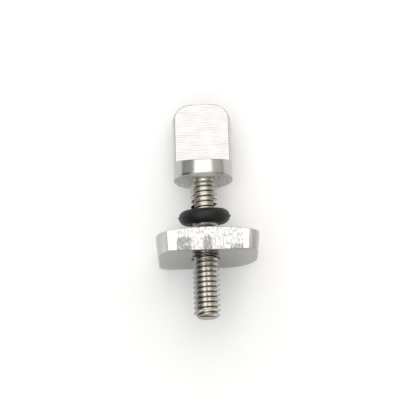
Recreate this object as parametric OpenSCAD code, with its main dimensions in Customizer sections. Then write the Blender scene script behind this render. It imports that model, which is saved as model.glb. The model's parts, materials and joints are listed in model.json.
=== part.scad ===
// Surfboard fin screw: a thumb screw with a rubber ring and a plate nut, lying as it comes to rest.
// Each piece is drawn upright, with the screw's axis on Z, the head up and the underside of the collar
// at zero, and lay_down() then turns it over. Millimetres.

/* [Head] */
// Diameter of the round bar that the head is turned from
head_d = 9; // [7:0.1:10.4]
// Height of the collar from its underside to the lowest point of the shoulder
collar_h = 2.15; // [1.2:0.05:4]
// Length of the thumb tab above the collar
tab_len = 9.57; // [6:0.01:14]
// Thickness of the thumb tab between its two milled flats
tab_t = 3.65; // [2.5:0.05:5]
// Radius turned on the outer end of the head
end_r = 2.4; // [0.5:0.05:3.2]
// Radius of the disc cutter that is plunged along the axis to mill each flat
cutter_r = 17; // [14:0.5:40]
// Edge break round the underside of the collar
collar_break = 0.1; // [0.05:0.05:0.5]

/* [Stud] */
// Outside diameter of the thread
thread_d = 4.07; // [3:0.01:4.6]
// Pitch of the thread
thread_pitch = 0.79375; // [0.5:0.00125:1]
// Length of the stud below the collar
stud_len = 21.55; // [18:0.05:30]

/* [Rubber ring] */
// Outside diameter of the ring, without its flash
ring_d = 7.8; // [7.2:0.1:9]
// Thickness of the ring's round section
ring_t = 2.25; // [1.6:0.05:2.6]
// Distance from the underside of the collar down to the middle of the ring
ring_drop = 5.78; // [4:0.01:6]
// Angle that the ring's front side is pushed towards the tip, in degrees
ring_cock = 9; // [0:0.5:10]
// Angle that the ring's left side is pushed towards the tip, in degrees
ring_lean = 1.9; // [0:0.1:4]
// Height of the mould flash that stands out round the ring
flash_h = 0.15; // [0.05:0.05:0.3]
// Thickness of the mould flash at its root
flash_t = 0.3; // [0.1:0.05:0.5]
// Gap between the stud and the ring's bore
ring_clear = 0.05; // [0.02:0.01:0.2]

/* [Plate] */
// Length of the plate at the level of its crown
plate_len = 15.9; // [14:0.1:20]
// Depth of the plate across its two flat sides, at the level of its crown
plate_depth = 11.9; // [11.5:0.1:14]
// Thickness of the plate at the top of its crown
plate_t = 3.93; // [3:0.01:6]
// Distance from the underside of the collar down to the top of the crown
plate_drop = 8.49; // [8.3:0.01:12]
// Angle at which all the walls of the plate lean inwards on their way down, in degrees
plate_draft = 6.5; // [0.5:0.5:8]
// Radius of the crowned upper face
crown_r = 45; // [30:1:90]
// Distance of the plate's middle from the tapped hole, along its length
plate_shift = 0.38; // [0:0.02:1]
// Radius of the two square corners
corner_r = 2; // [1.2:0.1:2.4]
// Radius of the two turning corners
turn_r = 5.7; // [4:0.1:5.9]
// Length that the front turning corner takes off the front side
turn_cut = 1.8; // [1:0.1:3]
// Gap between the stud and the plate's tapped hole
thread_clear = 0.05; // [0.02:0.01:0.1]
// Edge break at both mouths of the tapped hole
hole_break = 0.12; // [0.08:0.01:0.4]

/* [Hidden] */
$fn = 96;
crown_steps = 240;
// Room that a cutting shape has beyond the face that it cuts
over = 1;
head_r = head_d / 2;
head_h = collar_h + tab_len;
thread_r = thread_d / 2;
// Depth of a standard outside thread, as a share of its pitch
thread_depth_share = 0.6134;
tip_break = thread_depth_share * thread_pitch;
ring_centre_r = (ring_d - ring_t) / 2;
hole_r = thread_r + thread_clear;
plate_end = plate_len / 2;
plate_side = plate_depth / 2;
// Distance that the walls of the plate lean in for each millimetre of height
plate_slope = tan(plate_draft);
// Distance along the end that the front turning corner takes off, where its arc meets the end tangentially
turn_rise = sqrt(2 * turn_r * turn_cut - turn_cut * turn_cut);
// Distance that a corner's round wall stands out past the flat walls, so that it crosses them
corner_nip = 0.02;
// Fall of the crown at the middle of the back edge
edge_fall = crown_r - sqrt(crown_r * crown_r - plate_side * plate_side - plate_shift * plate_shift);
// Tilt at which the collar's rim and the plate's back edge both lie on the ground
rest_tilt = atan((plate_side - edge_fall * plate_slope - head_r) / (collar_h + plate_drop + edge_fall));

// Turns an upright piece over onto its back, with the head towards +Y and the front flat up.
module lay_down() {
    rotate([-90 - rest_tilt, 0, 0])
        children();
}

// Outline of the turned blank, to the right of the axis.
module blank_outline() {
    polygon([
        [0, -stud_len],
        [thread_r - tip_break, -stud_len],
        [thread_r, -stud_len + tip_break],
        [thread_r, 0],
        [head_r - collar_break, 0],
        [head_r, collar_break],
        [head_r, head_h - end_r],
        [head_r - end_r, head_h - end_r],
        [head_r - end_r, head_h],
        [0, head_h]
    ]);
    intersection() {
        translate([head_r - end_r, head_h - end_r])
            circle(r = end_r);
        translate([head_r - end_r, head_h - end_r])
            square(end_r);
    }
}

// Metal that the disc cutter takes off one side of the head: the cutter's rim leaves the curved shoulder.
module milled_side() {
    translate([0, -tab_t / 2, collar_h + cutter_r])
        rotate([90, 0, 0])
            cylinder(r = cutter_r, h = head_r - tab_t / 2 + over);
}

// Thumb screw: collar, thumb tab and stud, turned and milled from one bar.
module thumb_screw() {
    color([0.78, 0.77, 0.75])
        lay_down()
            difference() {
                rotate_extrude()
                    blank_outline();
                milled_side();
                mirror([0, 1, 0])
                    milled_side();
            }
}

// Section of the rubber ring: round, with a thin ridge of mould flash on its outside.
module ring_section() {
    translate([ring_centre_r, 0])
        circle(d = ring_t);
    polygon([
        [ring_centre_r, -flash_t / 2],
        [ring_d / 2 + flash_h, 0],
        [ring_centre_r, flash_t / 2]
    ]);
}

// Rubber ring: pushed askew on the stud, and pressed to its shape on the inside.
module o_ring() {
    color([0.09, 0.09, 0.1])
        lay_down()
            difference() {
                translate([0, 0, -ring_drop])
                    rotate([ring_cock, -ring_lean, 0])
                        rotate_extrude()
                            ring_section();
                translate([0, 0, -ring_drop - ring_d / 2])
                    cylinder(r = thread_r + ring_clear, h = ring_d);
            }
}

// Bar along Y with leaning sides, twice the stated half wide at the level of the crown, and a little higher.
module leaning_bar(half, reach) {
    foot = half - plate_t * plate_slope;
    brim = half + over * plate_slope;
    rotate([90, 0, 0])
        translate([0, 0, -reach])
            linear_extrude(height = 2 * reach)
                polygon([
                    [-foot, 0],
                    [foot, 0],
                    [brim, plate_t + over],
                    [-brim, plate_t + over]
                ]);
}

// Waste outside a rounded, leaning corner at [x, y] that points towards -X and -Y: a block less a cone.
module corner_waste(x, y, radius, rise) {
    difference() {
        translate([x - 2 * over, y - 2 * over, -over])
            cube([radius + 2 * over, rise + 2 * over, plate_t + 3 * over]);
        translate([x + radius - corner_nip, y + rise - corner_nip, -over])
            cylinder(
                r1 = radius - (plate_t + over) * plate_slope,
                r2 = radius + 2 * over * plate_slope,
                h = plate_t + 3 * over
            );
    }
}

// Plate before its top is crowned: two square corners and two turning corners, each pair opposite.
module plate_block() {
    difference() {
        intersection() {
            leaning_bar(plate_end, plate_side + over);
            rotate([0, 0, 90])
                leaning_bar(plate_side, plate_end + over);
        }
        corner_waste(-plate_end, -plate_side, turn_r, turn_rise);
        rotate([0, 0, 180])
            corner_waste(-plate_end, -plate_side, turn_r, turn_r);
        mirror([1, 0, 0])
            corner_waste(-plate_end, -plate_side, corner_r, corner_r);
        mirror([0, 1, 0])
            corner_waste(-plate_end, -plate_side, corner_r, corner_r);
    }
}

// Plate nut: the block under its crown, with the tapped hole through it.
module plate() {
    color([0.74, 0.74, 0.73])
        lay_down()
            translate([0, 0, -plate_drop - plate_t])
                difference() {
                    translate([plate_shift, 0, 0])
                        intersection() {
                            plate_block();
                            translate([0, 0, plate_t - crown_r])
                                rotate([90, 0, 0])
                                    sphere(r = crown_r, $fn = crown_steps);
                        }
                    translate([0, 0, -over])
                        cylinder(r = hole_r, h = plate_t + 2 * over);
                    hole_mouth();
                    translate([0, 0, plate_t])
                        mirror([0, 0, 1])
                            hole_mouth();
                }
}

// Conical edge break at the lower mouth of the tapped hole.
module hole_mouth() {
    translate([0, 0, -hole_break])
        cylinder(r1 = hole_r + 2 * hole_break, r2 = hole_r, h = 2 * hole_break);
}

thumb_screw();
o_ring();
plate();
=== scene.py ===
"""Dresses the fin screw: a milled and threaded thumb screw, a black rubber ring and a scraped plate nut."""
import json
import logging
import math
from dataclasses import dataclass
from enum import Enum
from typing import Any, Sequence

import bpy
import numpy as np
from mathutils import Matrix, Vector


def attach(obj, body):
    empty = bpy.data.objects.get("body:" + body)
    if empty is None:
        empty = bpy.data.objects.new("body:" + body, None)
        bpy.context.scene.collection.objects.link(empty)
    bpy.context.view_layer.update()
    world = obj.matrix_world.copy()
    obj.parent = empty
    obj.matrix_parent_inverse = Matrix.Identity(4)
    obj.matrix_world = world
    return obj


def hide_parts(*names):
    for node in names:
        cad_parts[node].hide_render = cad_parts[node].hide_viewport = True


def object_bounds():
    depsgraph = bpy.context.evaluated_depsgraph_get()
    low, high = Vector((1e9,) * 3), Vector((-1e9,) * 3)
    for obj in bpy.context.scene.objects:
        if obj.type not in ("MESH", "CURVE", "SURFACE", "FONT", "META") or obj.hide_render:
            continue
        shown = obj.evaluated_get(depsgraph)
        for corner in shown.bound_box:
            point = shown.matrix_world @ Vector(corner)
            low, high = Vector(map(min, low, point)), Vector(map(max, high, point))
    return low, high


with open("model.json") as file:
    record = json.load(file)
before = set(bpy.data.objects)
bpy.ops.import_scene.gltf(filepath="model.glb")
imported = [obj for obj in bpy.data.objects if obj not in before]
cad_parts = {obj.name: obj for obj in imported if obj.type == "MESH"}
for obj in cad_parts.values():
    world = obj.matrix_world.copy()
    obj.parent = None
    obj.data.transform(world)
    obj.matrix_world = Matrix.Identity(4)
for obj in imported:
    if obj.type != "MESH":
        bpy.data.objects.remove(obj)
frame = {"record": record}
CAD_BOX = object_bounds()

LOG = logging.getLogger("fin_screw")
MM = 0.001
UPRIGHT = "upright_mm"
WELD_MM = 1e-5
TINY_MM = 1e-6
SHARP_DEG = 40.0

Array = np.ndarray
Colour = tuple[float, float, float]
Point = tuple[float, float, float]
Span = tuple[float, float]
Relief = tuple[float, float]
Socket = bpy.types.NodeSocket


class Value:
    """A number on a node's output, which Python's operators work on by adding Math nodes."""

    def __init__(self, graph: "Graph", socket: Socket) -> None:
        """Keeps the graph that new nodes go into and the socket that holds the number."""
        self.graph = graph
        self.socket = socket

    def __add__(self, other: "Value | float") -> "Value":
        """Returns self + other."""
        return self.graph.math("ADD", self, other)

    __radd__ = __add__

    def __sub__(self, other: "Value | float") -> "Value":
        """Returns self - other."""
        return self.graph.math("SUBTRACT", self, other)

    def __rsub__(self, other: float) -> "Value":
        """Returns other - self."""
        return self.graph.math("SUBTRACT", other, self)

    def __mul__(self, other: "Value | float") -> "Value":
        """Returns self * other."""
        return self.graph.math("MULTIPLY", self, other)

    __rmul__ = __mul__

    def __pow__(self, other: float) -> "Value":
        """Returns self to the power of other."""
        return self.graph.math("POWER", self, other)

    def root(self) -> "Value":
        """Returns the square root of self."""
        return self.graph.math("SQRT", self)

    def wave(self) -> "Value":
        """Returns a sine of self, in radians, moved to run from 0 to 1."""
        return self.graph.math("SINE", self) * 0.5 + 0.5

    def ramp(self, span: Span) -> "Value":
        """Returns a smooth step, which falls where the span's second value is the lower one.

        Args:
            span: the values of self at which the step gives 0 and 1.

        Returns:
            The step, from 0 to 1.
        """
        rises = span[1] > span[0]
        node = self.graph.node(
            "ShaderNodeMapRange",
            {"interpolation_type": "SMOOTHSTEP", "clamp": True},
            {0: self, 1: min(span), 2: max(span), 3: float(not rises), 4: float(rises)},
        )
        return Value(self.graph, node.outputs[0])


class Graph:
    """A node tree that is filled from Python expressions."""

    def __init__(self, tree: bpy.types.NodeTree) -> None:
        """Empties the tree."""
        self.tree = tree
        tree.nodes.clear()

    def node(self, kind: str, settings: dict[str, Any], inputs: dict[Any, Any]) -> bpy.types.Node:
        """Adds one node.

        Args:
            kind: the node's type.
            settings: the node's own properties, which are set before its sockets.
            inputs: a socket's name or number, with a constant, a Value or another node's socket.

        Returns:
            The new node.
        """
        node = self.tree.nodes.new(kind)
        for name, setting in settings.items():
            setattr(node, name, setting)
        for name, content in inputs.items():
            socket = node.inputs[name]
            if isinstance(content, Value):
                self.tree.links.new(content.socket, socket)
            elif isinstance(content, Socket):
                self.tree.links.new(content, socket)
            elif socket.type == "RGBA":
                socket.default_value = (*content, 1.0)
            else:
                socket.default_value = content
        return node

    def math(self, operation: str, *terms: Value | float) -> Value:
        """Adds a Math node and returns its result."""
        return Value(self, self.node("ShaderNodeMath", {"operation": operation}, dict(enumerate(terms))).outputs[0])

    def upright(self) -> tuple[Value, Value, Value]:
        """Returns x, y and z in millimetres, with the screw standing on its tip and its front towards -y."""
        return self.split(self.node("ShaderNodeAttribute", {"attribute_name": UPRIGHT}, {}).outputs["Vector"])

    def split(self, vector: Socket) -> tuple[Value, Value, Value]:
        """Returns the three values of a vector."""
        x, y, z = (Value(self, output) for output in self.node("ShaderNodeSeparateXYZ", {}, {0: vector}).outputs)
        return x, y, z

    def vector(self, x: Value | float, y: Value | float, z: Value | float) -> Socket:
        """Returns a vector of three values."""
        return self.node("ShaderNodeCombineXYZ", {}, {0: x, 1: y, 2: z}).outputs[0]

    def mix(self, share: Value, first: Colour | Socket, second: Colour | Socket) -> Socket:
        """Returns a colour between first, at a share of 0, and second, at a share of 1."""
        return self.node("ShaderNodeMix", {"data_type": "RGBA"}, {0: share, 6: first, 7: second}).outputs[2]

    def bump(self, height: Value, relief: Relief) -> Socket:
        """Returns the normal of a surface whose height, from 0 to 1, has a relief's depth and strength."""
        inputs = {"Height": height, "Distance": relief[0] * MM, "Strength": relief[1]}
        return self.node("ShaderNodeBump", {}, inputs).outputs[0]

    def surface(self, **inputs: Any) -> None:
        """Adds the surface's shader and the output; a keyword is a socket's name with _ for each space."""
        shader = self.node("ShaderNodeBsdfPrincipled", {}, {name.replace("_", " "): inputs[name] for name in inputs})
        self.node("ShaderNodeOutputMaterial", {}, {"Surface": shader.outputs[0]})


@dataclass(frozen=True)
class Clouds:
    """A cloudy pattern: its clouds in each unit of x, y and z, their fineness, and its move along x in clouds."""

    x: float
    y: float
    z: float
    detail: float = 2.0
    rough: float = 0.5
    shift: float = 0.0

    def read(self, graph: Graph, x: Value, y: Value | float, z: Value) -> Value:
        """Reads the pattern at a place.

        Args:
            graph: the nodes that it is read in.
            x: the place on the first axis.
            y: the place on the second axis.
            z: the place on the third axis.

        Returns:
            The pattern, which lies around 0.5.
        """
        place = graph.vector(x * self.x + self.shift, y * self.y, z * self.z)
        inputs = {"Vector": place, "Scale": 1.0, "Detail": self.detail, "Roughness": self.rough}
        return Value(graph, graph.node("ShaderNodeTexNoise", {}, inputs).outputs[0])


class Zone(Enum):
    """The differently finished parts of the thumb screw, numbered as its material slots."""

    TURNED = 0
    MILLED = 1
    THREAD = 2


@dataclass(frozen=True)
class Finish:
    """A finish, which has a name and makes one material.

    Lengths are in millimetres. A span holds the values at which a mask is 0 and 1, which are squares where its name
    ends in 2. A relief is a depth and a strength.
    """

    name: str

    def material(self) -> bpy.types.Material:
        """Makes the material and fills its nodes.

        Returns:
            The material.
        """
        material = bpy.data.materials.new(self.name)
        material.use_nodes = True
        self.fill(Graph(material.node_tree))
        return material

    def fill(self, graph: Graph) -> None:
        """Fills the material's nodes, which each finish does in its own way."""
        raise NotImplementedError


@dataclass(frozen=True)
class MilledSteel(Finish):
    """Steel from under a plunging disc cutter: shallow arcs, one for each step of the cutter."""

    sweep_r: float = 40.0
    step: float = 0.4
    drift: Clouds = Clouds(0.05, 0.0, 1.7, 3.0)
    drift_len: float = 0.3
    fade: Clouds = Clouds(0.4, 0.0, 1.1, 3.0)
    fade_span: Span = (0.36, 0.66)
    faintest: float = 0.2
    light: Colour = (0.597, 0.592, 0.583)
    dark: Colour = (0.505, 0.5, 0.49)
    rough: float = 0.42
    rough_mark: float = 0.1
    relief: Relief = (0.004, 0.6)

    def fill(self, graph: Graph) -> None:
        """Reads the arcs from z and the sweep's curve at x, so that each one is a moved copy of the same arc.

        Args:
            graph: the material's nodes.
        """
        x, _, z = graph.upright()
        arc = z + (self.sweep_r**2 - x * x).root()
        drift = self.drift.read(graph, x, 0.0, arc) * self.drift_len
        line = ((arc + drift) * (2.0 * math.pi / self.step)).wave()
        fade = self.fade.read(graph, x, 0.0, z).ramp(self.fade_span)
        mark = (line**2.0) * (self.faintest + (1.0 - self.faintest) * fade)
        graph.surface(
            Base_Color=graph.mix(mark, self.light, self.dark),
            Metallic=1.0,
            Roughness=self.rough + mark * self.rough_mark,
            Normal=graph.bump(mark, self.relief),
        )


@dataclass(frozen=True)
class TurnedSteel(Finish):
    """Steel off the lathe: bright, with very fine rings round the axis, and painted shade at each edge."""

    collar_h: float
    cutter_r: float
    head_h: float
    rings: Clouds = Clouds(9.0, 0.0, 9.0, 3.0, 0.6)
    clouds: Clouds = Clouds(0.7, 0.7, 0.7)
    ring_share: float = 0.6
    ring_span: Span = (0.35, 0.65)
    below_z: Span = (0.03, 0.005)
    mottle: Clouds = Clouds(2.3, 2.3, 2.3)
    mottle_span: Span = (0.3, 0.7)
    reflection_x2: Span = (5.0, 1.2)
    reflection_y: Span = (-2.0, -3.0)
    reflection_share: float = 0.85
    shoulder_gap2: Span = (0.04, 0.01)
    past_end: Span = (-0.5, -0.2)
    side_x2: Span = (9.0, 10.5)
    side_z: Span = (3.0, 2.4)
    collar_shade_right: Span = (-1.7, -2.2)
    collar_shade_left: Span = (-3.3, -3.0)
    faint_collar_shade_x: Span = (1.6, 2.4)
    faint_collar_shade: float = 0.4
    collar_shade_z: Span = (0.27, 0.17)
    light: Colour = (0.58, 0.576, 0.566)
    dark: Colour = (0.52, 0.516, 0.507)
    torn: Colour = (0.5, 0.491, 0.475)
    bare: Colour = (0.72, 0.711, 0.693)
    painted_reflection: Colour = (0.98, 0.97, 0.95)
    edge_shaded: Colour = (0.5, 0.495, 0.485)
    collar_shaded: Colour = (0.15, 0.147, 0.141)
    rough: float = 0.17
    rough_rings: float = 0.07
    rough_below: float = 0.3
    rough_mottle: float = 0.12
    rough_reflection: float = 0.2
    relief: Relief = (0.003, 0.35)
    mottle_relief: float = 2.0

    def fill(self, graph: Graph) -> None:
        """Reads the rings from the distance to the axis and from z, so that they run round every face.

        The underside, below a height of about zero, is left dull and mottled by the tool that faced it, and has a
        painted pale reflection in front of the stud. Painted shade darkens the end's edge, the collar's sides and the
        shoulder's edge, where z is near the parabola of x that the cutter's rim comes close to. The collar's lower
        edge has painted shade: in a patch on the left, and faintly on the right.

        Args:
            graph: the material's nodes.
        """
        x, y, z = graph.upright()
        radius = (x * x + y * y).root()
        rings = self.rings.read(graph, radius, 0.0, z)
        clouds = self.clouds.read(graph, x, y, z)
        share = (rings * self.ring_share + clouds * (1.0 - self.ring_share)).ramp(self.ring_span)
        below = z.ramp(self.below_z)
        mottle = self.mottle.read(graph, x, y, z).ramp(self.mottle_span)
        # painted reflection: a pale patch on the underside in front of the stud, which is also made rougher
        reflection = (x * x).ramp(self.reflection_x2) * y.ramp(self.reflection_y)
        under = graph.mix(reflection * self.reflection_share, graph.mix(mottle, self.bare, self.torn), self.painted_reflection)
        # painted shade: a dark line along the shoulder's edge and the end's edge, and darker sides on the collar
        gap2 = (z - self.collar_h - x * x * (0.5 / self.cutter_r)) ** 2.0
        edges = graph.math("MAXIMUM", gap2.ramp(self.shoulder_gap2), (z - self.head_h).ramp(self.past_end))
        edges = graph.math("MAXIMUM", edges, (x * x).ramp(self.side_x2) * z.ramp(self.side_z))
        # painted shade on the collar's lower edge: a patch on the left, fainter on the right
        collar_shade = x.ramp(self.collar_shade_right) * x.ramp(self.collar_shade_left)
        collar_shade = graph.math("MAXIMUM", collar_shade, x.ramp(self.faint_collar_shade_x) * self.faint_collar_shade) * z.ramp(self.collar_shade_z)
        wall = graph.mix(edges, graph.mix(share, self.light, self.dark), self.edge_shaded)
        dullness = self.rough_below + self.rough_mottle * mottle + reflection * self.rough_reflection
        graph.surface(
            Base_Color=graph.mix(below, graph.mix(collar_shade, wall, self.collar_shaded), under),
            Metallic=1.0,
            Roughness=self.rough + share * self.rough_rings + below * dullness,
            Normal=graph.bump(rings + below * mottle * self.mottle_relief, self.relief),
        )


@dataclass(frozen=True)
class ThreadSteel(Finish):
    """A rolled thread, with painted shade in its roots, on its crest and on its sides, a painted dark reflection
    down the front, and painted shade on the end.

    The spans of the crest's and the root's painted shade are in pitches. Those of the neck, the end and the top
    of the lower stud are measured from there, towards the head.
    """

    crest_r: float
    root_r: float
    pitch: float
    start_z: float
    neck_z: float
    end_z: float
    lower_top_z: float
    clouds: Clouds = Clouds(1.6, 1.6, 1.6, 3.0)
    ragged: float = 0.16
    bright_share: float = 0.62
    crest_shade_2: Span = (0.165, 0.215)
    crest_shade_share: float = 0.7
    root_shade_from: Span = (0.4, 0.46)
    root_shade_to: Span = (0.66, 0.6)
    root_shade_neck: Span = (0.05, -0.3)
    root_shade_end: Span = (0.15, 0.35)
    dark_line_x: float = 0.06
    dark_line_gap2: Span = (0.07, 0.005)
    dark_line_y: Span = (-1.2, -1.4)
    dark_line_top: Span = (0.4, 0.0)
    dark_line_end: Span = (0.9, 1.3)
    dark_line_share: float = 0.55
    end_shade_z: Span = (0.03, 0.01)
    end_shade_r: Span = (1.5, 1.4)
    end_shade_y: Span = (-0.35, -0.75)
    side_shade_y: Span = (-1.6, -0.9)
    side_shade_ragged: float = 0.4
    side_shade_askew: float = 0.25
    upper_z: Span = (0.0, 1.0)
    upper_shade: float = 0.3
    upper_share: float = 0.5
    grain: Clouds = Clouds(6.0, 6.0, 18.0)
    light: Colour = (0.84, 0.814, 0.764)
    dark: Colour = (0.75, 0.719, 0.662)
    thread_shade: Colour = (0.34, 0.328, 0.302)
    root_shade: Colour = (0.03, 0.027, 0.023)
    dark_reflection: Colour = (0.3, 0.245, 0.22)
    end_shaded: Colour = (0.05, 0.049, 0.047)
    rough: float = 0.26
    rough_crest: float = -0.06
    rough_grain: float = 0.05
    rough_end_shade: float = 0.6
    relief: Relief = (0.004, 0.4)

    def fill(self, graph: Graph) -> None:
        """Darkens towards the root with painted shade, by the distance to the axis, with clouds that break up the
        edge, and paints deeper shade into the root.

        The place in a pitch is the fraction of z less the start, in pitches, less the angle in turns: the crest is
        first, with a thin band of painted shade on it, then the flank that faces the head, the root and the flank
        that faces the tip. Painted shade darkens the sides and the back, away from the front: further round on
        the left on the lower part, and more evenly on the upper part. A painted dark reflection is a narrow strip
        of x on the lower front, and painted shade darkens the front of the end.

        Args:
            graph: the material's nodes.
        """
        x, y, z = graph.upright()
        radius = (x * x + y * y).root()
        over_end, over_lower = z - self.end_z, z - self.lower_top_z
        clouds = self.clouds.read(graph, x, y, z) - 0.5
        # painted shade: the metal darkens from the crest towards the root
        bright_r = self.root_r + self.bright_share * (self.crest_r - self.root_r)
        height = (radius + clouds * self.ragged).ramp((self.root_r, bright_r))
        turn = (z - self.start_z) * (1.0 / self.pitch) - graph.math("ARCTAN2", y, x) * (0.5 / math.pi)
        place = graph.math("FRACT", turn)
        # painted shade: a thin dark band along the crest
        crest_shade = ((place - 0.5) ** 2.0).ramp(self.crest_shade_2)
        # painted shade in the root and on the flank that faces the head
        root_shaded = place.ramp(self.root_shade_from) * place.ramp(self.root_shade_to)
        root_shaded = root_shaded * (z - self.neck_z).ramp(self.root_shade_neck) * over_end.ramp(self.root_shade_end)
        # painted reflection: a narrow reddish dark line down the lower front
        dark_line = ((x - self.dark_line_x) ** 2.0).ramp(self.dark_line_gap2) * y.ramp(self.dark_line_y)
        dark_line = dark_line * over_lower.ramp(self.dark_line_top) * over_end.ramp(self.dark_line_end)
        # painted shade on the front of the end, which is also made rougher
        end_shade = over_end.ramp(self.end_shade_z) * radius.ramp(self.end_shade_r) * y.ramp(self.end_shade_y)
        upper = over_lower.ramp(self.upper_z)
        # painted shade on the sides and the back, further round on the lower left, and spread over the upper part
        side_shaded = (y - x * (1.0 - upper) * self.side_shade_askew + clouds * self.side_shade_ragged).ramp(self.side_shade_y)
        side_shaded = side_shaded + (self.upper_shade - side_shaded) * upper * self.upper_share
        metal = graph.mix(side_shaded, graph.mix(height, self.dark, self.light), self.thread_shade)
        metal = graph.mix(crest_shade * self.crest_shade_share, metal, self.thread_shade)
        metal = graph.mix(dark_line * self.dark_line_share, metal, self.dark_reflection)
        grain = self.grain.read(graph, x, y, z)
        graph.surface(
            Base_Color=graph.mix(end_shade, graph.mix(root_shaded, metal, self.root_shade), self.end_shaded),
            Metallic=1.0,
            Roughness=self.rough + height * self.rough_crest + grain * self.rough_grain + end_shade * self.rough_end_shade,
            Normal=graph.bump(grain, self.relief),
        )


@dataclass(frozen=True)
class ScrapedSteel(Finish):
    """A plate finished in a tumbler: walls with a polish, and the flat front scraped along the screw's axis.

    Each worn patch is given by its middle on x, half of its width, and its height over the foot. The spans of its
    edge are in shares of that half. The spans of the strip are measured from the crease, on x.
    """

    front_y: float
    foot_z: float
    slope: float
    crease_x: float
    scraped_from: float
    scraped_to: float
    front_gap: Span = (0.1, 0.02)
    below_gap: Span = (0.02, 0.005)
    fade: float = 0.1
    streaks: Clouds = Clouds(4.2, 0.0, 1.7, 4.0, 0.65)
    scrape_span: Span = (0.42, 0.72)
    scrape_share: float = 0.9
    pits: Clouds = Clouds(4.5, 0.0, 3.6, shift=7.0)
    pit_span: Span = (0.6, 0.74)
    pit_share: float = 0.45
    worn: tuple[Point, ...] = ((-3.3, 1.35, 2.0), (0.4, 0.75, 2.0), (4.9, 1.1, 0.75))
    worn_edge: Span = (1.2, 0.4)
    worn_top: Span = (0.3, -0.3)
    worn_share: float = 0.16
    clouds: Clouds = Clouds(0.9, 0.9, 0.9, 3.0)
    strip_left: Span = (-1.3, 0.0)
    strip_right: Span = (0.9, 0.4)
    strip_y: Span = (-3.5, -4.5)
    pocks: Clouds = Clouds(2.6, 2.6, 1.5, 3.0, 0.6)
    pock_span: Span = (0.5, 0.72)
    pock_share: float = 0.4
    light: Colour = (0.575, 0.571, 0.561)
    wall: Colour = (0.62, 0.61, 0.585)
    pitted: Colour = (0.43, 0.413, 0.385)
    crease_highlight: Colour = (0.84, 0.83, 0.805)
    dull: Colour = (0.235, 0.232, 0.227)
    foot: Colour = (0.365, 0.363, 0.36)
    rough: float = 0.5
    rough_below: float = -0.35
    rough_front: float = -0.3
    rough_scrape: float = 0.25
    relief: Relief = (0.012, 0.5)
    cloud_relief: float = 0.1

    def fill(self, graph: Graph) -> None:
        """Scrapes the front only, between two places on x, with streaks that are long in z, pits, and worn patches.

        The front is where y, corrected for the wall's lean, is that of the front's foot. The underside, which is as
        it came from the press, is darker than the walls with painted shade. The walls are faintly pitted, and have a
        painted highlight in a strip beside the crease at the front's left edge.

        Args:
            graph: the material's nodes.
        """
        x, y, z = graph.upright()
        up, past = z - self.foot_z, x - self.crease_x
        front = (y + up * self.slope - self.front_y).ramp(self.front_gap)
        below = up.ramp(self.below_gap)
        between = (x - self.scraped_from).ramp((-self.fade, self.fade))
        between = between * (x - self.scraped_to).ramp((self.fade, -self.fade))
        streaks = self.streaks.read(graph, x, 0.0, z)
        pits = self.pits.read(graph, x, 0.0, z).ramp(self.pit_span)
        patches = [
            ((x - middle) ** 2.0).ramp(tuple((edge * half) ** 2 for edge in self.worn_edge))
            * (up - height).ramp(self.worn_top)
            for middle, half, height in self.worn
        ]
        worn = graph.math("MINIMUM", sum(patches[1:], patches[0]), 1.0)
        scrape = (streaks + worn * self.worn_share).ramp(self.scrape_span) + pits * self.pit_share
        scrape = graph.math("MINIMUM", scrape, 1.0) * front * between
        clouds = self.clouds.read(graph, x, y, z)
        # painted highlight: a pale strip on the wall beside the crease
        strip = past.ramp(self.strip_left) * past.ramp(self.strip_right) * y.ramp(self.strip_y) * (1.0 - front)
        pocks = self.pocks.read(graph, x, y, z).ramp(self.pock_span) * self.pock_share
        walls = graph.mix(strip, graph.mix(pocks, self.wall, self.pitted), self.crease_highlight)
        # painted shade: the underside's colour is darker than the walls
        metal = graph.mix(below, graph.mix(front, walls, self.light), self.foot)
        dullness = scrape * self.scrape_share + clouds * (1.0 - self.scrape_share)
        graph.surface(
            Base_Color=graph.mix(dullness, metal, self.dull),
            Metallic=1.0,
            Roughness=self.rough + below * self.rough_below + front * self.rough_front + scrape * self.rough_scrape,
            Normal=graph.bump(streaks * front + clouds * self.cloud_relief, self.relief),
        )


@dataclass(frozen=True)
class BlackRubber(Finish):
    """Moulded black rubber with a dull skin and a little pale dust."""

    bloom: Clouds = Clouds(0.8, 0.8, 0.8, 3.0)
    bloom_span: Span = (0.4, 0.75)
    bloom_share: float = 0.35
    specks: Clouds = Clouds(9.0, 9.0, 9.0, 1.0)
    speck_span: Span = (0.68, 0.78)
    speck_share: float = 0.5
    grain: Clouds = Clouds(14.0, 14.0, 14.0)
    skin: Colour = (0.006, 0.006, 0.0065)
    dust: Colour = (0.032, 0.031, 0.031)
    rough: float = 0.44
    rough_bloom: float = 0.14
    specular: float = 0.36
    relief: Relief = (0.01, 0.35)

    def fill(self, graph: Graph) -> None:
        """Adds broad clouds of bloom and small specks of dust to the skin.

        Args:
            graph: the material's nodes.
        """
        x, y, z = graph.upright()
        bloom = self.bloom.read(graph, x, y, z).ramp(self.bloom_span)
        specks = self.specks.read(graph, x, y, z).ramp(self.speck_span)
        grain = self.grain.read(graph, x, y, z)
        graph.surface(
            Base_Color=graph.mix(bloom * self.bloom_share + specks * self.speck_share, self.skin, self.dust),
            Roughness=self.rough + bloom * self.rough_bloom,
            Specular_IOR_Level=self.specular,
            Normal=graph.bump(grain, self.relief),
        )


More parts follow.
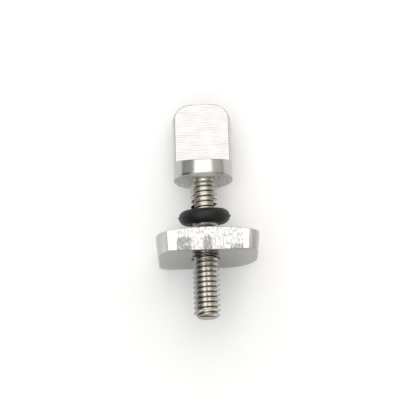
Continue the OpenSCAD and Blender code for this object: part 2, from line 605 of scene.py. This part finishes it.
@dataclass(frozen=True)
class PaleFloor(Finish):
    """A matt, nearly white studio table, whose clouds are counted in each metre."""

    clouds: Clouds = Clouds(12.0, 12.0, 12.0)
    light: Colour = (0.8, 0.8, 0.8)
    shade: Colour = (0.79, 0.79, 0.79)
    lift: Colour = (0.19, 0.19, 0.189)
    rough: float = 0.9

    def fill(self, graph: Graph) -> None:
        """Adds faint, broad clouds, and a lift towards white for what the camera and the metal see of the table.

        Args:
            graph: the material's nodes.
        """
        x, y, z = graph.split(graph.node("ShaderNodeTexCoord", {}, {}).outputs["Object"])
        clouds = self.clouds.read(graph, x, y, z)
        path = graph.node("ShaderNodeLightPath", {}, {}).outputs
        seen = graph.math("MAXIMUM", Value(graph, path["Is Camera Ray"]), Value(graph, path["Is Glossy Ray"]))
        graph.surface(
            Base_Color=graph.mix(clouds, self.light, self.shade),
            Roughness=self.rough,
            Emission_Color=graph.mix(seen, (0.0, 0.0, 0.0), self.lift),
            Emission_Strength=1.0,
        )


def new_object(name: str, data: bpy.types.ID) -> bpy.types.Object:
    """Makes an object and puts it into the scene.

    Args:
        name: the object's name.
        data: its mesh, lamp or camera.

    Returns:
        The new object.
    """
    made = bpy.data.objects.new(name, data)
    bpy.context.scene.collection.objects.link(made)
    return made


def grid_quads(rows: int, columns: int) -> Array:
    """Numbers the faces of a grid.

    Args:
        rows: the number of rows of points.
        columns: the number of points in each row.

    Returns:
        Four point numbers for each face, row by row, which turn left seen from outside.
    """
    corner = np.arange(rows - 1)[:, None] * columns + np.arange(columns - 1)[None, :]
    return np.stack([corner, corner + 1, corner + columns + 1, corner + columns], axis=-1).reshape(-1, 4)


def row(x: Array, y: Array, z: Array) -> Array:
    """Returns one or more rows of points from their coordinates."""
    return np.stack(np.broadcast_arrays(x, y, z), axis=-1)


def parabola(first: Array, corner: Array, last: Array, t: Array) -> Array:
    """Returns the parabola that leaves first towards the corner, where t is 0, and reaches last, where t is 1."""
    return (1 - t) ** 2 * first + 2 * t * (1 - t) * corner + t**2 * last


def soften(path: Array, corner: int, setback: float, steps: int = 4, most: float = 0.45) -> Array:
    """Rounds one corner of every column's path with a parabola that starts and ends at the setback.

    Args:
        path: points, as rows along the path, columns, and coordinates.
        corner: the row of the corner.
        setback: the distance from the corner to both ends of the round.
        steps: the number of rows that the corner becomes.
        most: the share of a side that the round may take.

    Returns:
        The path, with the corner's row replaced by the rows of the round.
    """
    at = path[corner]

    def towards(other: Array) -> Array:
        """Returns the point at the setback from the corner, on the way to another row."""
        way = other - at
        length = np.linalg.norm(way, axis=-1, keepdims=True)
        return at + way * np.minimum(setback / np.maximum(length, TINY_MM), most)

    t = np.linspace(0.0, 1.0, steps)[:, None, None]
    bend = parabola(towards(path[corner - 1]), at, towards(path[corner + 1]), t)
    return np.concatenate([path[:corner], bend, path[corner + 1:]])


@dataclass(frozen=True)
class Laying:
    """How an upright piece is laid down: over onto its back, with the stud's tip a little off the ground."""

    tilt: float

    @classmethod
    def from_record(cls, record: dict[str, Any]) -> "Laying":
        """Reads the tilt from the axis of the head's seat, which points along the stud to its tip."""
        seat = next(mount for mount in record["mounts"] if mount["name"] == "head_seat")
        return cls(math.atan2(seat["axis"][2], -seat["axis"][1]))

    def place(self, points: Array) -> Array:
        """Turns upright points about X by a right angle and the tilt, and makes metres of their millimetres.

        Args:
            points: an array whose last axis is x, y and z.

        Returns:
            The same points in the part's frame.
        """
        x, y, z = np.moveaxis(points, -1, 0)
        sine, cosine = math.sin(self.tilt), math.cos(self.tilt)
        return MM * np.stack([x, z * cosine - y * sine, -y * cosine - z * sine], axis=-1)


@dataclass
class Skin:
    """Points and faces of one piece, upright and in millimetres, with a material slot for each face."""

    points: Array
    quads: Array
    slots: Array

    @classmethod
    def from_rows(cls, path: Array, slots: Array | int = 0) -> "Skin":
        """Makes a skin of a grid of points.

        Args:
            path: points, as rows along the path, columns, and coordinates.
            slots: the material slot of all faces, or one for each.

        Returns:
            The skin.
        """
        rows, columns = path.shape[:2]
        slots = np.broadcast_to(slots, (rows - 1, columns - 1))
        return cls(path.reshape(-1, 3), grid_quads(rows, columns), slots.ravel())

    @classmethod
    def joined(cls, *skins: "Skin") -> "Skin":
        """Puts several closed skins into one.

        Args:
            skins: the skins, in the order of their points and faces.

        Returns:
            The skin that holds them all.
        """
        starts = np.cumsum([0] + [len(skin.points) for skin in skins[:-1]])
        return cls(
            np.concatenate([skin.points for skin in skins]),
            np.concatenate([skin.quads + start for skin, start in zip(skins, starts)]),
            np.concatenate([skin.slots for skin in skins]),
        )

    def welded(self) -> tuple[Array, list[list[int]], Array]:
        """Merges points that coincide, and drops the sides and faces that this leaves without a length.

        Returns:
            The points, the faces as lists of three or four point numbers, and each face's slot.
        """
        keys = np.round(self.points / WELD_MM).astype(np.int64)
        _, first, number = np.unique(keys, axis=0, return_index=True, return_inverse=True)
        quads = number.reshape(-1)[self.quads]
        repeated = quads == np.roll(quads, -1, axis=1)
        folded = (quads[:, 0] == quads[:, 2]) | (quads[:, 1] == quads[:, 3])
        whole = ~repeated.any(axis=1) & ~folded
        three = (repeated.sum(axis=1) == 1) & ~folded
        triangles = quads[three][~repeated[three]].reshape(-1, 3)
        faces = quads[whole].tolist() + triangles.tolist()
        return self.points[first], faces, np.concatenate([self.slots[whole], self.slots[three]])

    def piece(self, name: str, laying: Laying, finishes: Sequence[Finish]) -> bpy.types.Object:
        """Makes the object, with its place in its mesh and its upright place kept as an attribute.

        Args:
            name: the object's name.
            laying: how the upright piece is laid down.
            finishes: the finishes of the material slots.

        Returns:
            The new object.
        """
        points, faces, slots = self.welded()
        mesh = bpy.data.meshes.new(name)
        mesh.from_pydata(laying.place(points).tolist(), [], faces)
        upright = mesh.attributes.new(UPRIGHT, "FLOAT_VECTOR", "POINT")
        upright.data.foreach_set("vector", points.astype(np.float32).ravel())
        for finish in finishes:
            mesh.materials.append(finish.material())
        mesh.polygons.foreach_set("material_index", slots.astype(np.int32))
        mesh.polygons.foreach_set("use_smooth", np.ones(len(faces), dtype=bool))
        mesh.set_sharp_from_angle(angle=math.radians(SHARP_DEG))
        mesh.update()
        piece = new_object(name, mesh)
        even = piece.modifiers.new("even_normals", "WEIGHTED_NORMAL")
        even.keep_sharp = True
        LOG.info("%s: %d points, %d faces", name, len(points), len(faces))
        return piece


@dataclass
class ThumbScrew:
    """The turned and milled screw: a collar and a thumb tab on a threaded stud. Sizes are in millimetres."""

    head_d: float = 9.0
    collar_h: float = 2.15
    tab_len: float = 9.57
    tab_t: float = 3.65
    end_r: float = 2.4
    cutter_r: float = 17.0
    collar_break: float = 0.1
    edge_soft: float = 0.12
    end_soft: float = 0.27
    shoulder_fillet: float = 0.1
    thread_d: float = 4.07
    pitch: float = 0.79375
    depth_share: float = 0.6134
    crest_share: float = 0.125
    flank_deg: float = 30.0
    thread_soft: float = 0.03
    stud_len: float = 21.55
    stud_in: float = 0.05
    tip_in: float = 0.1
    tip_swell: float = 0.75
    neck: float = 0.35
    neck_fillet: float = 0.15
    thread_lead: float = 0.34
    lower_len: float = 9.0
    turn_points: int = 96
    strip_points: int = 10
    corner_points: int = 6
    flat_points: int = 30
    under_share: float = 0.55
    end_rows: int = 9

    @property
    def head_r(self) -> float:
        """Radius of the collar."""
        return self.head_d / 2

    @property
    def root_r(self) -> float:
        """Radius at the bottom of the thread."""
        return self.thread_d / 2 - self.depth_share * self.pitch

    def _columns(self) -> tuple[Array, Array, Array]:
        """Spaces the head's columns: a quarter turn with a rounded tab corner, then its three mirror images.

        Returns:
            The angle of each column on the collar, and its x and y on the tab's outline.
        """
        radius, half, soft = self.head_r, self.tab_t / 2, self.edge_soft
        corner = math.asin(half / radius)
        flat_x = radius * math.cos(corner)
        start, stop = corner - soft / radius, math.acos((flat_x - soft) / radius)
        strip = np.linspace(0.0, start, self.strip_points)
        turn = np.linspace(start, stop, self.corner_points)
        flat = np.linspace(stop, math.pi / 2, self.flat_points)
        first, last = np.array([radius * math.cos(start), radius * math.sin(start)]), np.array([flat_x - soft, half])
        t = np.linspace(0.0, 1.0, self.corner_points)[1:-1, None]
        bend = parabola(first, np.array([flat_x, half]), last, t)
        angle = np.concatenate([strip, turn[1:-1], flat])
        x = np.concatenate([radius * np.cos(strip), bend[:, 0], radius * np.cos(flat)])
        y = np.concatenate([radius * np.sin(strip), bend[:, 1], np.full(len(flat), half)])
        angle = np.concatenate([angle, math.pi - angle[-2::-1]])
        x, y = np.concatenate([x, -x[-2::-1]]), np.concatenate([y, y[-2::-1]])
        angle = np.concatenate([angle, 2 * math.pi - angle[-2::-1]])
        return angle, np.concatenate([x, x[-2::-1]]), np.concatenate([y, -y[-2::-1]])

    def _shoulder(self, x: Array) -> Array:
        """Returns the height that the cutter's rim leaves at x: an arc, lowest at the collar's height."""
        return self.collar_h + self.cutter_r - np.sqrt(self.cutter_r**2 - x**2)

    def _end(self, x: Array, y: Array) -> Array:
        """Returns the height of the turned end: level near the axis, then a quarter circle of the distance to it."""
        out = np.clip(np.hypot(x, y) - (self.head_r - self.end_r), 0.0, self.end_r)
        return self.collar_h + self.tab_len - self.end_r + np.sqrt(self.end_r**2 - out**2)

    def head(self) -> Skin:
        """Carries each column from the underside's middle up the wall, in over the shoulder, and up the tab.

        Returns:
            The head's closed skin, with the tab's flats and the shoulders in the milled slot.
        """
        angle, tab_x, tab_y = self._columns()
        rim_x, rim_y = self.head_r * np.cos(angle), self.head_r * np.sin(angle)
        zero = np.zeros_like(angle)
        across = np.linspace(1.0, 0.0, self.end_rows + 1)[1:, None]
        path = np.concatenate([
            [
                row(zero, zero, zero),
                row(self.under_share * rim_x, self.under_share * rim_y, zero),
                row(rim_x, rim_y, zero),
                row(rim_x, rim_y, self._shoulder(rim_x)),
                row(tab_x, tab_y, self._shoulder(tab_x)),
                row(tab_x, tab_y, self._end(tab_x, tab_y)),
            ],
            row(tab_x, tab_y * across, self._end(tab_x, tab_y * across)),
        ])
        # The last corner comes first, so that the others keep their row numbers.
        path = soften(path, 5, self.end_soft)
        path = soften(path, 4, self.shoulder_fillet)
        path = soften(path, 3, self.edge_soft)
        path = soften(path, 2, self.collar_break, 5)
        flat = np.abs(tab_y) > self.tab_t / 2 - TINY_MM
        slots = np.full((path.shape[0] - 1, len(angle) - 1), Zone.TURNED.value)
        shoulder_row, end_row = 10, 15
        slots[shoulder_row:end_row, flat[1:] & flat[:-1]] = Zone.MILLED.value
        return Skin.from_rows(path, slots)

    def _thread(self) -> tuple[Array, Array]:
        """Draws one pitch of the thread: a crest, a flank, a root and a flank, with rounded corners.

        Returns:
            The places along the axis, over one pitch, and the radius at each.
        """
        crest, root, top = self.thread_d / 2, self.root_r, self.pitch * self.crest_share
        flank = (crest - root) * math.tan(math.radians(self.flank_deg))
        z = np.array([-flank, 0.0, top, top + flank, self.pitch - flank, self.pitch])
        radius = np.array([root, crest, crest, root, root, crest])
        line = row(radius, np.zeros_like(z), z)[:, None, :]
        for corner in (4, 3, 2, 1):
            line = soften(line, corner, self.thread_soft)
        return line[1:-1, 0, 2], line[1:-1, 0, 0]

    def thread_start(self) -> float:
        """Returns the height at which a crest of the thread begins, at an angle of zero."""
        return self.thread_lead * self.pitch - self.stud_len

    def stud(self) -> Skin:
        """Winds the thread's profile round the axis: a point's height grows by one pitch for each turn.

        Returns:
            The stud's closed skin, cut off square at both ends, with a tip whose radius grows by the root of the
            distance from the end and, below the collar, a neck of the root's size that ends in a fillet.
        """
        along, height = self._thread()
        below = 2
        turns = math.ceil((self.stud_len + self.stud_in) / self.pitch) + below + 1
        row_z = (along + self.pitch * np.arange(-below, turns - below)[:, None] + self.thread_start()).ravel()
        angle = np.linspace(0.0, 2 * math.pi, self.turn_points + 1)
        z = np.clip(row_z[:, None] + self.pitch * angle / (2 * math.pi), -self.stud_len, self.stud_in)
        tip = self.root_r - self.tip_in + self.tip_swell * np.sqrt(z + self.stud_len)
        radius = np.minimum(np.tile(height, turns)[:, None], tip)
        radius = np.minimum(radius, self.root_r + np.maximum(-z - self.neck, 0.0))
        bend = np.clip(z + self.neck_fillet, 0.0, self.neck_fillet)
        radius = radius + self.neck_fillet - np.sqrt(self.neck_fillet**2 - bend**2)
        wall = row(radius * np.cos(angle), radius * np.sin(angle), z)
        path = np.concatenate([wall[:1] * [0, 0, 1], wall, wall[-1:] * [0, 0, 1]])
        return Skin.from_rows(path, Zone.THREAD.value)

    def build(self, laying: Laying) -> bpy.types.Object:
        """Makes the screw's piece and dresses it.

        Args:
            laying: how the upright screw is laid down.

        Returns:
            The screw.
        """
        finishes = [
            TurnedSteel("turned_steel", self.collar_h, self.cutter_r, self.collar_h + self.tab_len),
            MilledSteel("milled_steel"),
            ThreadSteel(
                "thread_steel", self.thread_d / 2, self.root_r, self.pitch, self.thread_start(),
                -self.neck, -self.stud_len, -self.stud_len + self.lower_len,
            ),
        ]
        piece = Skin.joined(self.head(), self.stud()).piece("thumb_screw_metal", laying, finishes)
        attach(piece, "thumb_screw")
        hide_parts("thumb_screw")
        return piece


@dataclass
class RubberRing:
    """The rubber ring, pushed askew on the stud, with mould flash on its outside. Sizes are in millimetres."""

    ring_d: float = 7.8
    ring_t: float = 2.25
    drop: float = 5.78
    cock_deg: float = 9.0
    lean_deg: float = 1.9
    flash_h: float = 0.15
    flash_w: float = 0.07
    flash_left: float = 0.12
    bore_r: float = 2.085
    turn_points: int = 128
    section_points: int = 80
    even_share: float = 0.35

    def skin(self) -> Skin:
        """Carries a circle with a narrow ridge round the axis, tilts it, and presses its inside to the bore.

        The section's points are closer together at the ridge, which is trimmed at the front and the back, where its
        height falls with the cosine's fourth power to the share that is left.

        Returns:
            The ring's closed skin.
        """
        angle = np.linspace(0.0, 2 * math.pi, self.turn_points + 1)
        even = np.linspace(-1.0, 1.0, self.section_points + 1)
        section = (math.pi * (self.even_share * even + (1 - self.even_share) * even**3))[:, None]
        flash = self.flash_h * (self.flash_left + (1 - self.flash_left) * np.cos(angle) ** 4)
        half = self.ring_t / 2 + flash * np.exp(-((section * self.ring_t / 2 / self.flash_w) ** 2))
        out = (self.ring_d - self.ring_t) / 2 + half * np.cos(section)
        cock, lean = math.radians(self.cock_deg), math.radians(-self.lean_deg)
        x, y, z = out * np.cos(angle), out * np.sin(angle), half * np.sin(section)
        y, z = y * math.cos(cock) - z * math.sin(cock), y * math.sin(cock) + z * math.cos(cock)
        x, z = x * math.cos(lean) + z * math.sin(lean), z * math.cos(lean) - x * math.sin(lean)
        press = np.maximum(1.0, self.bore_r / np.hypot(x, y))
        return Skin.from_rows(row(x * press, y * press, z - self.drop))

    def build(self, laying: Laying) -> bpy.types.Object:
        """Makes the ring's piece and dresses it.

        Args:
            laying: how the upright ring is laid down.

        Returns:
            The ring.
        """
        piece = self.skin().piece("ring_rubber", laying, [BlackRubber("black_rubber")])
        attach(piece, "o_ring")
        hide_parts("o_ring")
        return piece


@dataclass
class PlateNut:
    """The plate nut: leaning walls, a crowned top, and square and turning corners. Sizes are in millimetres."""

    length: float = 15.9
    depth: float = 11.9
    thickness: float = 3.93
    drop: float = 8.49
    draft_deg: float = 6.5
    crown_r: float = 45.0
    shift: float = 0.38
    corner_r: float = 2.0
    turn_r: float = 5.7
    turn_cut: float = 1.8
    blend_arc: float = 0.08
    blend_front: float = 0.16
    smooth_left: float = 1.5
    smooth_right: float = 0.6
    hole_r: float = 2.085
    hole_break: float = 0.12
    top_soft: float = 0.24
    foot_soft: float = 0.14
    part_points: tuple[int, ...] = (24, 14, 40, 16, 8, 24, 20, 16, 10)
    crown_rows: int = 11
    crown_rounds: int = 3

    @property
    def slope(self) -> float:
        """Distance that the walls lean in for each millimetre of height."""
        return math.tan(math.radians(self.draft_deg))

    def _outline(self, inset: Array) -> tuple[Array, Array]:
        """Draws the plan from the front turning corner on, with its sides moved in and its arcs made smaller.

        Args:
            inset: the distance moved in, one number or one for each column.

        Returns:
            x and y of each column, from the plate's middle, turning left seen from the head.
        """
        ends = np.cumsum(self.part_points)
        inset = np.split(np.broadcast_to(inset, ends[-1] + 1)[:-1], ends[:-1])
        share = [np.linspace(0.0, 1.0, count, endpoint=False) for count in self.part_points]
        end, side, small, large = self.length / 2, self.depth / 2, self.corner_r, self.turn_r
        rise = math.sqrt(2 * large * self.turn_cut - self.turn_cut**2)

        def arc(part: int, x: float, y: float, radius: float, start: float, stop: Array | float) -> Array:
            """Returns an arc's points between two angles."""
            angle, reach = start + (stop - start) * share[part], radius - inset[part]
            return np.stack([x + reach * np.cos(angle), y + reach * np.sin(angle)])

        def line(part: int, start: tuple[Any, Any], stop: tuple[Any, Any]) -> Array:
            """Returns a line's points between two places."""
            t = share[part]
            return np.stack([a + (b - a) * t for a, b in zip(start, stop)])

        def meeting(part: int) -> tuple[Array, Array]:
            """Returns where the front turning corner's arc meets the front: its x, and its angle on the arc."""
            half = np.sqrt((large - inset[part]) ** 2 - (rise - inset[part]) ** 2)
            return large - end - half, math.pi + np.arctan2(rise - inset[part], half)

        meet_x, meet_angle = meeting(1)
        first = meet_angle - self.blend_arc / large
        reach = large - inset[1]
        arc_end = np.stack([large - end + reach * np.cos(first), rise - side + reach * np.sin(first)])
        corner = np.stack([meet_x, inset[1] - side])
        front_y = inset[2] - side
        parts = [
            arc(0, large - end, rise - side, large, math.pi, meeting(0)[1] - self.blend_arc / large),
            parabola(arc_end, corner, corner + [[self.blend_front], [0.0]], share[1]),
            line(2, (meeting(2)[0] + self.blend_front, front_y), (end - small, front_y)),
            arc(3, end - small, small - side, small, -math.pi / 2, 0.0),
            line(4, (end - inset[4], small - side), (end - inset[4], side - large)),
            arc(5, end - large, side - large, large, 0.0, math.pi / 2),
            line(6, (end - large, side - inset[6]), (small - end, side - inset[6])),
            arc(7, small - end, side - small, small, math.pi / 2, math.pi),
            line(8, (inset[8] - end, side - small), (inset[8] - end, rise - side)),
        ]
        x, y = np.concatenate(parts, axis=1)
        return np.append(x, x[0]), np.append(y, y[0])

    def _crown(self, x: Array, y: Array) -> Array:
        """Returns the height of the crown: a sphere's cap over the plate's middle."""
        return self.thickness - self.crown_r + np.sqrt(self.crown_r**2 - x**2 - y**2)

    def skin(self) -> Skin:
        """Carries each column from the hole's lower mouth out, up the wall, in over the crown and down the hole.

        The wall's lean and the crown's height depend on each other, so the upper outline is drawn in a few rounds.

        Returns:
            The plate's closed skin.
        """
        foot_x, foot_y = self._outline(np.array(self.slope * self.thickness))
        top_x, top_y = self._outline(np.array(0.0))
        for _ in range(self.crown_rounds):
            top_x, top_y = self._outline(self.slope * (self.thickness - self._crown(top_x, top_y)))
        angle = np.arctan2(top_y, top_x + self.shift)
        mouth = self.hole_r + self.hole_break
        ring_x, ring_y = np.cos(angle), np.sin(angle)
        zero = np.zeros_like(angle)
        share = np.linspace(0.0, 1.0, self.crown_rows + 1)[1:, None]
        in_x = (top_x + self.shift) * (1 - share) + mouth * ring_x * share
        in_y = top_y * (1 - share) + mouth * ring_y * share
        low = row(self.hole_r * ring_x, self.hole_r * ring_y, zero + self.hole_break)
        path = np.concatenate([
            [
                low,
                row(mouth * ring_x, mouth * ring_y, zero),
                row((mouth * ring_x + foot_x + self.shift) / 2, (mouth * ring_y + foot_y) / 2, zero),
                row(foot_x + self.shift, foot_y, zero),
                row(top_x + self.shift, top_y, self._crown(top_x, top_y)),
            ],
            row(in_x, in_y, self._crown(in_x - self.shift, in_y)),
            [row(self.hole_r * ring_x, self.hole_r * ring_y, zero + self.thickness - self.hole_break), low],
        ])
        path = soften(path, 4, self.top_soft)
        path = soften(path, 3, self.foot_soft)
        return Skin.from_rows(path - [0.0, 0.0, self.drop + self.thickness])

    def build(self, laying: Laying) -> bpy.types.Object:
        """Makes the plate's piece and dresses it.

        Args:
            laying: how the upright plate is laid down.

        Returns:
            The plate.
        """
        front_y = self.slope * self.thickness - self.depth / 2
        crease_x = self.shift - self.length / 2 + self.turn_cut
        scraped_from = crease_x + self.smooth_left
        scraped_to = self.shift + self.length / 2 - self.corner_r - self.smooth_right
        foot_z = -self.drop - self.thickness
        finish = ScrapedSteel("scraped_steel", front_y, foot_z, self.slope, crease_x, scraped_from, scraped_to)
        piece = self.skin().piece("plate_metal", laying, [finish])
        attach(piece, "plate")
        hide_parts("plate")
        return piece


@dataclass(frozen=True)
class SoftBox:
    """A rectangular light that hangs level over the table, between two places on x and on y, in metres."""

    name: str
    x: Span
    y: Span
    radiance: float

    def hang(self, height: float) -> None:
        """Makes the lamp, whose power is its radiance times pi and its area.

        Args:
            height: the height over the frame's origin.
        """
        lamp = bpy.data.lights.new(self.name, "AREA")
        lamp.shape = "RECTANGLE"
        lamp.size, lamp.size_y = self.x[1] - self.x[0], self.y[1] - self.y[0]
        lamp.energy = self.radiance * math.pi * lamp.size * lamp.size_y
        new_object(self.name, lamp).location = (sum(self.x) / 2, sum(self.y) / 2, height)


@dataclass
class Studio:
    """The camera, the table and the soft light. Sizes are in metres, but for the upright target in millimetres."""

    target: Point = (0.598, 0.0, -4.33)
    lean_deg: float = 16.2
    roll_deg: float = -1.85
    distance: float = 0.45
    focal_px: float = 2949.9
    frame_px: float = 416.0
    clip: Span = (0.01, 20.0)
    table: float = 2.0
    boxes: tuple[SoftBox, ...] = (
        SoftBox("soft_box_back", (-0.435, 0.455), (0.18, 1.1), 1.36),
        SoftBox("soft_box_middle", (-0.435, 0.2), (-0.2, 0.18), 1.36),
        SoftBox("soft_box_left", (-0.435, 0.03), (-0.9, -0.2), 0.78),
        SoftBox("soft_box_right", (0.03, 0.4), (-0.9, -0.2), 0.66),
    )
    box_height: float = 0.6
    room_front: Colour = (0.36, 0.36, 0.36)
    room_low: Colour = (0.3, 0.3, 0.3)
    room_left: Colour = (0.45, 0.447, 0.435)
    room_right: Colour = (0.71, 0.673, 0.612)
    side_x: Span = (-0.6, 0.6)
    front_y: Span = (0.25, -0.25)
    front_z: Span = (0.3, 0.65)
    level: float = 0.78
    level_rise: float = 0.45
    low_share: float = 0.45
    low_z: Span = (0.0, 0.13)

    def camera(self, laying: Laying) -> None:
        """Sets the camera: it looks down at the front, leaning to the tip's side by an angle, and is rolled a little.

        Args:
            laying: how the upright object is laid down.
        """
        lens = bpy.data.cameras.new("camera")
        lens.angle = 2 * math.atan(self.frame_px / 2 / self.focal_px)
        lens.clip_start, lens.clip_end = self.clip
        camera = new_object("camera", lens)
        aim = Matrix.Translation(laying.place(np.array(self.target)).tolist())
        lean = Matrix.Rotation(math.radians(self.lean_deg) - laying.tilt, 4, "X")
        back = Matrix.Translation((0.0, 0.0, self.distance))
        camera.matrix_world = aim @ lean @ back @ Matrix.Rotation(math.radians(self.roll_deg), 4, "Z")
        bpy.context.scene.camera = camera

    def floor(self) -> None:
        """Lays the table under the object's lowest point."""
        reach = self.table * np.array([[-1, -1, 0], [1, -1, 0], [1, 1, 0], [-1, 1, 0]], dtype=float)
        mesh = bpy.data.meshes.new("table")
        mesh.from_pydata((reach + [0.0, 0.0, CAD_BOX[0][2]]).tolist(), [], [[0, 1, 2, 3]])
        mesh.materials.append(PaleFloor("table_paper").material())
        table = new_object("table", mesh)

    def light(self) -> None:
        """Hangs the soft boxes overhead, and gives the room a front and two sides that darken towards the table.

        The room's level grows evenly with the height of the direction that is looked in, and falls to a share low down.
        """
        for box in self.boxes:
            box.hang(self.box_height)
        world = bpy.data.worlds.new("room")
        world.use_nodes = True
        graph = Graph(world.node_tree)
        x, y, z = graph.split(graph.node("ShaderNodeTexCoord", {}, {}).outputs["Generated"])
        sides = graph.mix(x.ramp(self.side_x), self.room_left, self.room_right)
        front = graph.mix(z.ramp(self.front_z), self.room_low, self.room_front)
        room = graph.mix(y.ramp(self.front_y), sides, front)
        low = self.low_share + (1.0 - self.low_share) * z.ramp(self.low_z)
        level = (self.level + z * self.level_rise) * low
        back = graph.node("ShaderNodeBackground", {}, {"Color": room, "Strength": level})
        graph.node("ShaderNodeOutputWorld", {}, {"Surface": back.outputs[0]})
        bpy.context.scene.world = world
        bpy.context.scene.view_settings.view_transform = "Standard"

    def build(self, laying: Laying) -> None:
        """Sets up the whole studio.

        Args:
            laying: how the upright object is laid down.
        """
        self.camera(laying)
        self.floor()
        self.light()


def main() -> None:
    """Builds the studio and the pieces in order."""
    logging.basicConfig(level=logging.INFO, format="%(name)s %(message)s")
    laying = Laying.from_record(frame["record"])
    Studio().build(laying)
    for piece in (ThumbScrew(), RubberRing(), PlateNut()):
        LOG.info("built %s", piece.build(laying).name)


if __name__ == "__main__":
    main()
